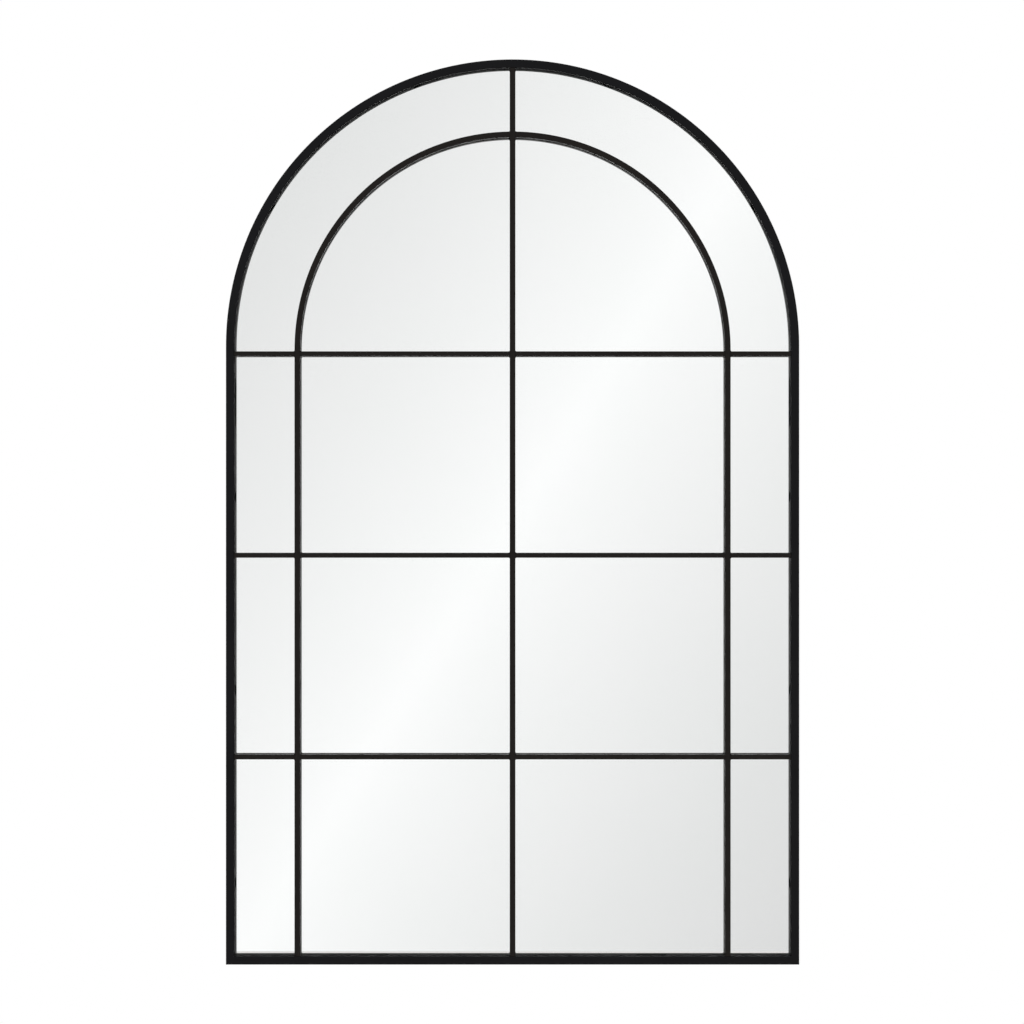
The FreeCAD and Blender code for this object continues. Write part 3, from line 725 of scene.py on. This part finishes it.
class FrameAndGrille(Group):
    """The welded steel: outline tube, bars, inner arch and the beads that join them."""

    arch_steps = 180
    quarter_steps = 160
    bead_radius = 0.00138
    bead_ripple = 0.00016
    bead_ripples = 9
    bead_sink = 0.0003

    def bends(self) -> None:
        """Models the arch of the outline and the two quarter bends inside it."""
        arch = Bend(LAYOUT.opening_radius, LAYOUT.half_width, LAYOUT.rear_y, LAYOUT.spring_z,
                    LAYOUT.tube_chamfer, self.arch_steps, LAYOUT.tube_wall)
        settle(arch.model("arch_tube"), Slot.POWDER, [self.finishes.tube], "frame_arch")
        quarter = Bend(LAYOUT.upright_inner_x, LAYOUT.upright_outer_x, LAYOUT.bar_rear_y,
                       LAYOUT.inner_spring_z, LAYOUT.bar_chamfer, self.quarter_steps)
        for side, label in ((1, "right"), (-1, "left")):
            piece = quarter.model(f"inner_bend_{label}")
            with Bench(piece) as bench:
                bpy.ops.mesh.bisect(
                    plane_co=(side * LAYOUT.centre_bar_side, 0, 0), plane_no=(side, 0, 0),
                    clear_inner=True, use_fill=True,
                )
                bench.face_outwards()
            smooth(piece, 20)
            settle(piece, Slot.POWDER, [self.finishes.bars], f"inner_arch_{label}")

    def bead_corners(self) -> list[tuple[float, float, int, int, float]]:
        """Every right-hand corner with a bead: x, z, the way it opens, and its eased edge."""
        bar, tube = LAYOUT.bar_chamfer, LAYOUT.tube_chamfer
        half = LAYOUT.cross_bar_face / 2
        corners = []
        for x, side, edge in (
            (LAYOUT.centre_bar_side, 1, bar), (LAYOUT.upright_inner_x, -1, bar),
            (LAYOUT.upright_outer_x, 1, bar), (LAYOUT.opening_radius, -1, tube),
        ):
            corners.append((x, LAYOUT.tube_face, side, 1, tube))
            for row in LAYOUT.rows:
                corners += [(x, row + half, side, 1, edge), (x, row - half, side, -1, edge)]
        for radius, centre_z, up in (
            (LAYOUT.opening_radius, LAYOUT.spring_z, -1),
            (LAYOUT.upright_outer_x, LAYOUT.inner_spring_z, 1),
            (LAYOUT.upright_inner_x, LAYOUT.inner_spring_z, -1),
        ):
            z = centre_z + math.sqrt(radius**2 - LAYOUT.centre_bar_side**2)
            corners.append((LAYOUT.centre_bar_side, z, 1, up, tube))
        return corners

    def beads(self) -> None:
        """Lays a rippled bead in every corner, and joins them into one piece."""
        length = LAYOUT.bar_rear_y - LAYOUT.front_y
        pattern = ridged_rod("bead_pattern", self.bead_radius, self.bead_ripple,
                             length / self.bead_ripples, self.bead_ripples, 16)
        sunk = Matrix.Translation((-self.bead_sink, 0, -self.bead_sink))
        turns = {(1, 1): 0, (-1, 1): 90, (-1, -1): 180, (1, -1): 270}
        laid = []
        for x, z, side, up, edge in self.bead_corners():
            depth = (length - edge - LAYOUT.bar_chamfer) / length
            for mirror in (1, -1):
                angle = math.radians(turns[(side * mirror, up)])
                placing = (
                    Matrix.Translation((mirror * x, LAYOUT.front_y + edge, z))
                    @ Matrix.Rotation(-angle, 4, "Y") @ sunk @ Matrix.Diagonal((1, depth, 1, 1))
                )
                laid.append(stamp(pattern, f"bead_{len(laid):02d}", placing))
        scrap(pattern)
        settle(unite("weld_beads", laid), Slot.POWDER, [self.finishes.weld], "weld_fillets")

    def dress(self) -> None:
        """Gives the straight tubes and bars their powder coat."""
        for name in self.nodes:
            if name in ("frame_left_leg", "frame_right_leg", "frame_bottom_rail"):
                self.coat(name, self.finishes.tube)
            elif name.endswith(("_bar", "_upright")):
                self.coat(name, self.finishes.bars)

    def build(self) -> None:
        """Builds and dresses all of the welded steel."""
        self.bends()
        self.beads()
        self.dress()


# ---- Glazing ----


@dataclass
class ArchedSheet:
    """A flat sheet with a half-round head that fills the opening but for an even gap."""

    gap: float
    front_y: float
    rear_y: float
    arris: float
    alike: bool = True
    sides: int = 320

    def model(self, name: str) -> Piece:
        """Models the sheet, with face number 1 on its edge, and behind where that isn't alike.

        Args:
            name: The sheet's name.

        Returns:
            The sheet.
        """
        radius = LAYOUT.opening_radius - self.gap
        foot = LAYOUT.tube_face + self.gap
        spring = LAYOUT.spring_z
        bpy.ops.mesh.primitive_circle_add(
            vertices=self.sides, radius=radius, fill_type="NGON",
            location=(0, self.front_y, spring), rotation=(math.pi / 2, 0, 0),
        )
        sheet = take(name)
        with Bench(sheet) as bench:
            bpy.ops.mesh.bisect(plane_co=(0, 0, spring), plane_no=(0, 0, 1), clear_inner=True)
            bench.pick(Level.EDGE, lambda place, way: place.z < spring + 10 * TOUCH)
            bench.extrude_edges((0, 0, foot - spring))
            bench.everything()
            bpy.ops.mesh.dissolve_limited(angle_limit=math.radians(0.05))
            bench.everything()
            bench.extrude((0, self.rear_y - self.front_y, 0))
            bench.face_outwards()
            bench.pick(Level.EDGE, lambda place, way: abs(way.y) < 0.1)
            bench.bevel(self.arris, 1)
        for face in sheet.data.polygons:
            ahead = abs(face.normal.y) if self.alike else -face.normal.y
            face.material_index = 0 if ahead > SQUARE_ON else 1
        return sheet


class Glazing(Group):
    """The mirror pane, its silver, and what carries and backs it."""

    film_front_y = LAYOUT.glass_rear_y - LAYOUT.film_thickness
    pane = ArchedSheet(0.0015, LAYOUT.glass_front_y, film_front_y - LAYOUT.film_gap, 0.0005)
    film = ArchedSheet(0.0016, film_front_y, LAYOUT.glass_rear_y, 0.00002, alike=False)
    board = ArchedSheet(0.0008, LAYOUT.board_front_y, LAYOUT.board_rear_y, 0.0003)
    dot_radius = 0.0026
    dot_swells = ((0.3, 1.10), (0.1, 1.04))

    def sheets(self) -> None:
        """Models the clear pane, the silver film behind it and the board behind both."""
        looks = self.finishes
        settle(self.pane.model("glass_pane"), Slot.GLASS, [looks.glass, looks.glass_edge_painted_shade],
               "mirror_glass")
        settle(self.film.model("silver_coat"), Slot.GLASS, [looks.silver, looks.paint],
               "mirror_glass")
        settle(self.board.model("back_board"), Slot.BOARD, [looks.board, looks.board],
               "backing_board")

    def dots(self) -> None:
        """Models the silicone dots behind the crossings, squeezed out by the glass."""
        thickness = LAYOUT.glass_front_y - LAYOUT.bar_rear_y
        middle = LAYOUT.bar_rear_y + thickness / 2
        pattern = disc("dot_pattern", self.dot_radius, LAYOUT.bar_rear_y, thickness, 32)
        with Bench(pattern) as bench:
            bench.pick(Level.EDGE, lambda place, way: abs(way.y) > 0.9)
            bpy.ops.mesh.subdivide(number_cuts=3)
            for share, swell in self.dot_swells:
                reach = thickness * share
                bench.pick(Level.VERTEX, lambda place, way: abs(place.y - middle) < reach)
                bench.scale((swell, 1, swell), (0, middle, 0))
            bench.face_outwards()
        smooth(pattern, 50)
        half = (LAYOUT.upright_outer_x - LAYOUT.upright_inner_x) / 2
        places = [(0.0, LAYOUT.inner_spring_z + LAYOUT.upright_outer_x - half)]
        for x in (-LAYOUT.upright_x, 0.0, LAYOUT.upright_x):
            places += [(x, row) for row in LAYOUT.rows]
        laid = [
            stamp(pattern, f"dot_{index}", Matrix.Translation((x, 0, z)))
            for index, (x, z) in enumerate(places)
        ]
        scrap(pattern)
        settle(unite("silicone_beads", laid), Slot.SILICONE, [self.finishes.silicone],
               "silicone_dots")

    def build(self) -> None:
        """Builds and dresses all of the glazing."""
        self.sheets()
        self.dots()
        self.coat("foam_tape_strips", self.finishes.foam)
        self.coat("setting_blocks", self.finishes.rubber)


# ---- Fixings ----


@dataclass
class PanScrew:
    """A pan-head machine screw with a cross drive, whose lesser sizes are shares of the main."""

    diameter: float
    head: float
    head_height: float
    reach: float
    dome: float = 0.5
    drive_span: float = 0.52
    drive_depth: float = 0.9
    drive_blade: float = 0.20
    drive_taper: float = 0.62
    pitch: float = 0.17
    core: float = 0.43
    thread: float = 0.05

    def model(self) -> Piece:
        """Models the screw with its seat at the origin and its shank along -Y."""
        top = self.head_height
        cap = disc("screw_head", self.head / 2, 0, top)
        with Bench(cap) as bench:
            bench.pick(Level.EDGE, lambda place, way: place.y > top - TOUCH and abs(way.y) < 0.1)
            bench.bevel(top * self.dome, 5)
            bench.face_outwards()
        smooth(cap, 40)
        for turn in (0.0, math.pi / 2):
            bpy.ops.mesh.primitive_cube_add(size=1, location=(0, top, 0), rotation=(0, turn, 0))
            blade = self.diameter * self.drive_blade
            bpy.context.active_object.scale = (
                self.head * self.drive_span, top * self.drive_depth, blade
            )
            cutter = take("drive_cutter")
            with Bench(cutter) as bench:
                bench.pick(Level.FACE, lambda place, way: way.y < -0.9)
                bench.scale((self.drive_taper, 1, self.drive_taper), (0, 0, 0))
            apply_modifier(cap, "BOOLEAN", object=cutter, operation="DIFFERENCE", solver="EXACT")
            scrap(cutter)
        turns = max(4, int(self.reach / (self.diameter * self.pitch)))
        rod = ridged_rod("shank", self.diameter * self.core, self.diameter * self.thread,
                         self.reach / turns, turns, 12)
        shank = stamp(rod, "shank_down", Matrix.Rotation(math.pi, 4, "Z"))
        scrap(rod)
        return unite("screw_pattern", [cap, shank])


@dataclass
class AngleClip:
    """A folded steel clip: its foot on the board and its flange against the tube."""

    width: float = 0.015
    foot: float = 0.014
    thickness: float = 0.0012
    flange: float = 0.0076
    ear_radius: float = 0.003
    bend_radius: float = 0.0018
    eased: float = 0.0002

    def model(self) -> Piece:
        """Models the clip against a wall at the origin, to the wall's left."""
        floor = LAYOUT.board_rear_y
        bpy.ops.mesh.primitive_plane_add(
            size=1, location=(-self.foot / 2, floor, 0), rotation=(-math.pi / 2, 0, 0)
        )
        bpy.context.active_object.scale = (self.foot, self.width, 1)
        clip = take("clip_pattern")
        with Bench(clip) as bench:
            bench.pick(Level.VERTEX, lambda place, way: place.x < -self.foot + TOUCH)
            bench.bevel(self.ear_radius, 4, corners=True)
            bench.pick(Level.EDGE, lambda place, way: place.x > -TOUCH)
            bench.extrude_edges((0, self.flange, 0))
            bench.pick(Level.EDGE, lambda place, way: place.x > -TOUCH
                       and place.y < floor + TOUCH and abs(way.z) > 0.9)
            bench.bevel(self.bend_radius, 5)
        apply_modifier(clip, "SOLIDIFY", thickness=self.thickness, offset=1.0, use_rim=True,
                       use_even_offset=True)
        apply_modifier(clip, "BEVEL", width=self.eased, segments=2, limit_method="ANGLE",
                       angle_limit=math.radians(40))
        smooth(clip, 40)
        return clip


@dataclass
class WireRing:
    """A ring of bent wire: a straight side in the strap's eye, two bends, two sides and a bow."""

    wire_radius: float = 0.0016
    bow_radius: float = 0.0136
    bend_radius: float = 0.003
    side: float = 0.005
    lean: float = 5.173

    def model(self) -> Piece:
        """Models the ring round an axis along X through the origin, leaning back on its strap."""
        half = self.bow_radius - self.bend_radius
        drop = self.side - self.bend_radius
        bpy.ops.mesh.primitive_circle_add(
            vertices=28, radius=self.wire_radius, fill_type="NOTHING", rotation=(0, math.pi / 2, 0)
        )
        ring = take("ring_pattern")
        with Bench(ring) as bench:
            bench.extrude_edges((half, 0, 0))
            bench.turn(-90, (half, 0, -self.bend_radius), 10)
            bench.extrude_edges((0, 0, -drop))
            bench.turn(-180, (0, 0, -self.side), 60)
            bench.extrude_edges((0, 0, drop))
            bench.turn(-90, (-half, 0, -self.bend_radius), 10)
            bench.extrude_edges((half, 0, 0))
            bench.face_outwards()
        ring.data.transform(Matrix.Rotation(math.radians(self.lean), 4, "X"))
        smooth(ring, 60)
        return ring


@dataclass
class Bumper:
    """A moulded wall bumper with a rounded rim and a shallow dish."""

    radius: float = 0.005
    height: float = 0.0025
    rounding: float = 0.0009
    rim: float = 0.0012
    slope: float = 0.0005
    dish: float = 0.0004

    def model(self) -> Piece:
        """Models the bumper on the rear of the tube, at the origin's X and Z."""
        top = LAYOUT.rear_y + self.height
        bumper = disc("bumper_pattern", self.radius, LAYOUT.rear_y, self.height)
        with Bench(bumper) as bench:
            bench.pick(Level.EDGE, lambda place, way: place.y > top - TOUCH and abs(way.y) < 0.1)
            bench.bevel(self.rounding, 5)
            bench.pick(
                Level.FACE, lambda place, way: way.y > SQUARE_ON and place.y > top - 10 * TOUCH
            )
            bpy.ops.mesh.inset(thickness=self.rim)
            bpy.ops.mesh.inset(thickness=self.slope)
            bench.extrude((0, -self.dish, 0))
            bench.face_outwards()
        smooth(bumper, 40)
        return bumper


@dataclass
class Fitting:
    """A pattern piece with what each of its copies needs."""

    pattern: Piece
    names: str
    finish: Material
    node: str
    seat: Matrix = field(default_factory=Matrix)
    slot: Slot = Slot.ZINC


class Fixings(Group):
    """Clips, screws, brackets, straps, rings and bumpers on the back."""

    frame_screw = PanScrew(0.0030, 0.0052, 0.0020, 0.0060)
    strap_screw = PanScrew(0.0040, 0.0075, 0.0026, 0.0042)
    clip = AngleClip()
    clip_heights = (0.134, 0.461, 0.788)
    clip_angles = (30.0, 70.0, 110.0, 150.0)
    rail_clip_x = 0.25
    clip_screw_y = 0.01015
    bracket_screw_y = 0.01055
    bracket_screw_heights = (0.9231, 0.9731)
    bracket_thickness = 0.002
    strap_rear_y = 0.01025
    strap_screw_heights = (0.93305, 0.92305)
    ring_at = (0.4474, 0.01063, 0.960)
    bumper_x = 0.4756
    bumper_heights = (0.060, 0.9814)

    @staticmethod
    def against(x: float, z: float, degrees: float) -> Matrix:
        """The placing against a wall at (x, z) that faces away from the given angle above +X."""
        return Matrix.Translation((x, 0, z)) @ Matrix.Rotation(-math.radians(degrees), 4, "Y")

    def clip_places(self) -> list[Matrix]:
        """Where the clips stand: three on each leg, four on the arch and two on the rail."""
        radius = LAYOUT.opening_radius
        places = []
        for z in self.clip_heights:
            places += [self.against(radius, z, 0), self.against(-radius, z, 180)]
        chord = math.sqrt(radius**2 - (self.clip.width / 2) ** 2)
        for degrees in self.clip_angles:
            angle = math.radians(degrees)
            x, z = chord * math.cos(angle), LAYOUT.spring_z + chord * math.sin(angle)
            places.append(self.against(x, z, degrees))
        for x in (-self.rail_clip_x, self.rail_clip_x):
            places.append(self.against(x, LAYOUT.tube_face, -90))
        return places

    @staticmethod
    def pairs(x: float, y: float, heights: Iterable[float]) -> list[Matrix]:
        """The placings on both sides of the mirror at some heights."""
        return [Matrix.Translation((side, y, z)) for side in (-x, x) for z in heights]

    @staticmethod
    def lay(places: Iterable[Matrix], *fittings: Fitting) -> None:
        """Stamps each fitting, seated, into every place, and scraps its pattern."""
        for index, place in enumerate(places, 1):
            for one in fittings:
                piece = stamp(one.pattern, one.names.format(index), place @ one.seat)
                settle(piece, one.slot, [one.finish], one.node)
        for one in fittings:
            scrap(one.pattern)

    def clips_and_screws(self) -> None:
        """Places every clip with its screw, and the screws of the brackets and straps."""
        radius, looks = LAYOUT.opening_radius, self.finishes
        turn = Matrix.Rotation(math.pi / 2, 4, "Z")
        seat = Matrix.Translation((-self.clip.thickness, self.clip_screw_y, 0)) @ turn
        clip, screw = self.clip.model(), self.frame_screw.model()
        self.lay(
            self.clip_places(),
            Fitting(clip, "retaining_clip_{:02d}", looks.plate, "retaining_clips"),
            Fitting(screw, "clip_screw_{:02d}", looks.screw, "frame_screws", seat),
        )
        seat = Matrix.Translation((-self.bracket_thickness, self.bracket_screw_y, 0)) @ turn
        places = [
            self.against(x, z, degrees) for z in self.bracket_screw_heights
            for x, degrees in ((radius, 0), (-radius, 180))
        ]
        screw = self.frame_screw.model()
        self.lay(places, Fitting(screw, "bracket_screw_{}", looks.screw, "frame_screws", seat))
        places = self.pairs(self.ring_at[0], self.strap_rear_y, self.strap_screw_heights)
        screw = self.strap_screw.model()
        self.lay(places, Fitting(screw, "strap_screw_{}", looks.screw, "hanger_screws"))

    def rings(self) -> None:
        """Hangs a wire ring in the eye of each strap."""
        pattern = WireRing().model()
        x, y, z = self.ring_at
        for side, place, body in (("left", (-x, y, z), Body.LEFT_RING),
                                  ("right", (x, y, z), Body.RIGHT_RING)):
            ring = stamp(pattern, f"{side}_wire_ring", Matrix.Translation(place))
            settle(ring, Slot.ZINC, [self.finishes.wire], f"{side}_hanger_ring", body=body)
        scrap(pattern)

    def bumpers(self) -> None:
        """Places the bumpers near the feet and the heads of the legs."""
        places = self.pairs(self.bumper_x, 0, self.bumper_heights)
        self.lay(places, Fitting(Bumper().model(), "wall_bumper_{}", self.finishes.rubber,
                                 "wall_bumpers", slot=Slot.RUBBER))

    def build(self) -> None:
        """Builds and dresses all of the fixings."""
        self.clips_and_screws()
        self.rings()
        self.bumpers()
        for side in ("left", "right"):
            self.coat(f"{side}_hanger_bracket", self.finishes.plate)
            self.coat(f"{side}_hanger_strap", self.finishes.strap)


# ---- Studio ----


@dataclass
class FallOff:
    """How bright the reflection card is: it falls away on both sides of a slanting gleam."""

    across: float = 0.8498
    upwards: float = 0.5271
    gleam: float = 0.026
    peak: float = 1.0077
    steep: float = 0.172
    steeper: float = 0.015
    power: float = 0.823
    blank_x: float = 1.15
    blank_z: float = 2.45

    def level(self, nodes: Nodes, middle_z: float) -> Socket:
        """The card's brightness: 1 beyond its blank edge and head, and the gleam within.

        Args:
            nodes: The tree of the card's material.
            middle_z: The height that the slant is measured from.

        Returns:
            The brightness.
        """
        calc = nodes.calc
        place = nodes.add("TexCoord").outputs["Object"]
        x, _, z = nodes.add("SeparateXYZ", Vector=place).outputs
        up = calc("MULTIPLY", calc("SUBTRACT", z, middle_z), self.upwards)
        slant = calc("SUBTRACT", calc("MULTIPLY", x, self.across), up)
        away = calc("SUBTRACT", slant, self.gleam)
        rate = calc("MULTIPLY", calc("GREATER_THAN", away, 0.0), self.steeper)
        rate = calc("ADD", rate, self.steep)
        fall = calc("MULTIPLY", calc("POWER", calc("ABSOLUTE", away), self.power), rate)
        level = calc("MINIMUM", 1.0, calc("SUBTRACT", self.peak, fall))
        edge = calc("MULTIPLY", calc("SUBTRACT", calc("ABSOLUTE", x), self.blank_x), 1.4)
        head = calc("MULTIPLY", calc("SUBTRACT", z, self.blank_z), 3.0)
        blank = calc("MINIMUM", 1.0, calc("MAXIMUM", 0.0, calc("MAXIMUM", edge, head)))
        return calc("ADD", level, calc("MULTIPLY", blank, calc("SUBTRACT", 1.0, level)))


@dataclass
class Studio:
    """The plain pale studio: white surround, low floor, soft lamps, reflection card, camera."""

    surround: float = 0.60
    floor_z: float = -0.95
    floor_glow: float = 0.22
    camera_at: Triple = (-0.00096, -3.66625, 0.7620)
    lens: float = 76.24
    card_y: float = -4.30

    def world(self) -> None:
        """Makes a surround that shows white and lights the mirror at a plain level."""
        world = bpy.data.worlds.new("pale_surround")
        bpy.context.scene.world = world
        world.use_nodes = True
        nodes = Nodes(world.node_tree)
        light = nodes.add("Background", Color=(1.0, 0.99, 0.975, 1.0), Strength=self.surround)
        white = nodes.add("Background", Color=(1.0, 1.0, 1.0, 1.0), Strength=1.0)
        mix = nodes.add("MixShader", n0=nodes.seen(), n1=light.outputs[0],
                        n2=white.outputs[0])
        nodes.add("OutputWorld", Surface=mix.outputs[0])

    def sheet(
        self, name: str, place: Triple, size: tuple[float, float], tilt: float, look: str
    ) -> tuple[Piece, Nodes]:
        """Sets up one flat surface of the studio.

        Args:
            name: Its name.
            place: Its middle.
            size: Its width and length.
            tilt: Its turn about X.
            look: Its material's name.

        Returns:
            The surface and its material's empty tree.
        """
        bpy.ops.mesh.primitive_plane_add(size=1, location=place, rotation=(tilt, 0, 0))
        bpy.context.active_object.scale = (*size, 1.0)
        sheet = take(name)
        material = bpy.data.materials.new(look)
        material.use_nodes = True
        sheet.data.materials.append(material)
        sheet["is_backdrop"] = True
        return sheet, Nodes(material.node_tree)

    def floor(self) -> None:
        """Lays the floor below the picture: it shows white but keeps the mirror's shadow."""
        place = (0, -1.5, self.floor_z)
        _, nodes = self.sheet("studio_floor", place, (14.0, 9.4), 0.0, "pale_floor")
        matt = nodes.add("BsdfDiffuse", Color=(0.80, 0.795, 0.785, 1.0))
        strength = nodes.calc("MULTIPLY", nodes.seen(), self.floor_glow)
        glow = nodes.add("Emission", Color=(1.0, 1.0, 1.0, 1.0), Strength=strength)
        both = nodes.add("AddShader", n0=matt.outputs[0], n1=glow.outputs[0])
        nodes.add("OutputMaterial", Surface=both.outputs[0])

    def card(self) -> None:
        """Hangs the card behind the camera whose slanting fall-off the mirror shows."""
        card, nodes = self.sheet("reflection_card", (0, self.card_y, 1.0), (4.4, 3.7), math.pi / 2,
                                 "card_fall_off")
        level = FallOff().level(nodes, self.camera_at[2])
        glow = nodes.add("Emission", Color=(0.996, 1.0, 1.0, 1.0), Strength=level)
        nodes.add("OutputMaterial", Surface=glow.outputs[0])
        card.visible_camera = card.visible_diffuse = card.visible_shadow = False

    def lamp(self, name: str, place: Triple, size: float, watts: float, colour: Triple) -> None:
        """Hangs one soft lamp that points at the mirror's middle.

        Args:
            name: The lamp's name.
            place: Where it hangs.
            size: The side of its square face.
            watts: Its power.
            colour: The colour of its light.
        """
        data = bpy.data.lights.new(name, "AREA")
        data.shape, data.size, data.energy, data.color = "SQUARE", size, watts, colour
        lamp = bpy.data.objects.new(name, data)
        bpy.context.scene.collection.objects.link(lamp)
        lamp.location = place
        aim = Vector((0, 0, self.camera_at[2])) - Vector(place)
        lamp.rotation_mode = "QUATERNION"
        lamp.rotation_quaternion = aim.to_track_quat("-Z", "Y")
        lamp.visible_camera = lamp.visible_glossy = lamp.visible_transmission = False

    def camera(self) -> None:
        """Stands the camera square to the mirror at the photograph's distance."""
        data = bpy.data.cameras.new("square_view")
        data.lens, data.sensor_width = self.lens, 36.0
        camera = bpy.data.objects.new("square_view", data)
        bpy.context.scene.collection.objects.link(camera)
        camera.location = self.camera_at
        camera.rotation_euler = (math.pi / 2, 0, 0)
        bpy.context.scene.camera = camera

    def build(self) -> None:
        """Sets up the whole studio."""
        bpy.context.scene.view_settings.view_transform = "Standard"
        self.camera()
        self.world()
        self.floor()
        self.card()
        self.lamp("high_left", (-2.6, -2.4, 3.2), 2.4, 45.0, (1.0, 0.99, 0.97))
        self.lamp("high_right_rear", (2.4, 2.8, 2.8), 2.4, 45.0, (1.0, 0.99, 0.97))
        self.lamp("low_front", (0.4, -2.2, -0.55), 1.6, 7.0, (1.0, 0.90, 0.78))
        LOG.info("studio: camera, surround, floor, card and three lamps")


def corners(bounds: tuple[Vector, Vector]) -> list[list[float]]:
    """A box's two corners as plain lists."""
    return [list(corner) for corner in bounds]


def main() -> None:
    """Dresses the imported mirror, adds its fine pieces and stands it in the studio."""
    logging.basicConfig(level=logging.INFO, format="%(name)s %(message)s")
    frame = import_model()
    solid_box = corners(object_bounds())
    finishes = Finishes()
    FrameAndGrille(finishes, frame["nodes"]).build()
    Glazing(finishes, frame["nodes"]).build()
    Fixings(finishes, frame["nodes"]).build()
    Studio().build()
    {"cad": solid_box, "visual": corners(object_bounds())}


if __name__ == "__main__":
    main()
